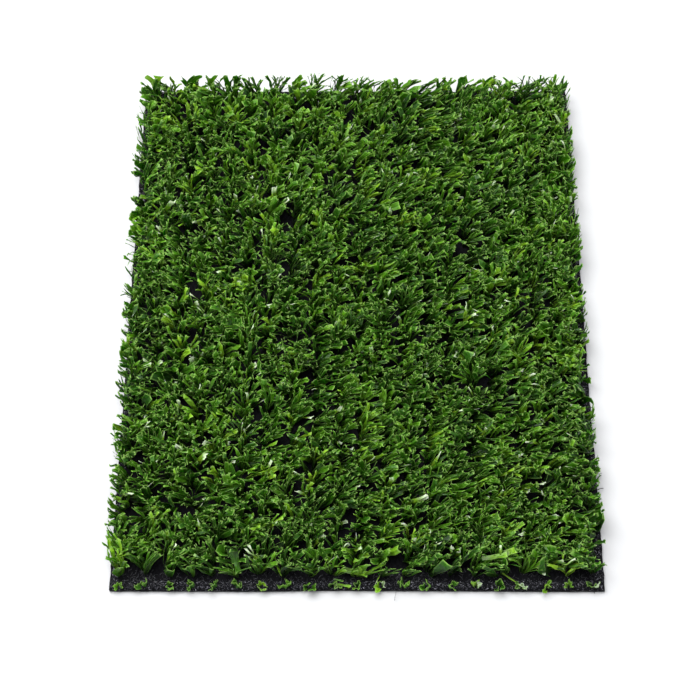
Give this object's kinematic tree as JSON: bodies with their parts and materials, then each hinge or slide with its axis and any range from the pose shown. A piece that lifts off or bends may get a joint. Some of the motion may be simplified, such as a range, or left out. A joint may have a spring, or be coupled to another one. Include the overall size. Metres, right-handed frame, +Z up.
{
  "type": "tufted turf hitting mat",
  "caption": "Small rectangular artificial turf mat: rows of short cut pile tufted through a woven backing with a latex coating.",
  "frame": {"origin": "middle of the flat underside", "axes": "+Z up out of the pile, +Y along the rows towards the back edge, +X across the rows"},
  "size_m": [0.2, 0.25, 0.014],
  "materials": {
    "turf_yarn": "slit polypropylene tape, cut, slightly glossy",
    "woven_backing": "black woven polypropylene, dull",
    "latex": "cured latex, matt"
  },
  "bodies": {
    "root": {"primary_backing": "woven_backing", "latex_coating": "latex", "pile_row_01": "turf_yarn", "pile_row_02": "turf_yarn", "pile_row_03": "turf_yarn", "pile_row_04": "turf_yarn", "pile_row_05": "turf_yarn", "pile_row_06": "turf_yarn", "pile_row_07": "turf_yarn", "pile_row_08": "turf_yarn", "pile_row_09": "turf_yarn", "pile_row_10": "turf_yarn", "pile_row_11": "turf_yarn", "pile_row_12": "turf_yarn", "pile_row_13": "turf_yarn", "pile_row_14": "turf_yarn", "pile_row_15": "turf_yarn", "pile_row_16": "turf_yarn", "pile_row_17": "turf_yarn", "pile_row_18": "turf_yarn", "pile_row_19": "turf_yarn", "pile_row_20": "turf_yarn", "pile_row_21": "turf_yarn"}
  },
  "joints": []
}
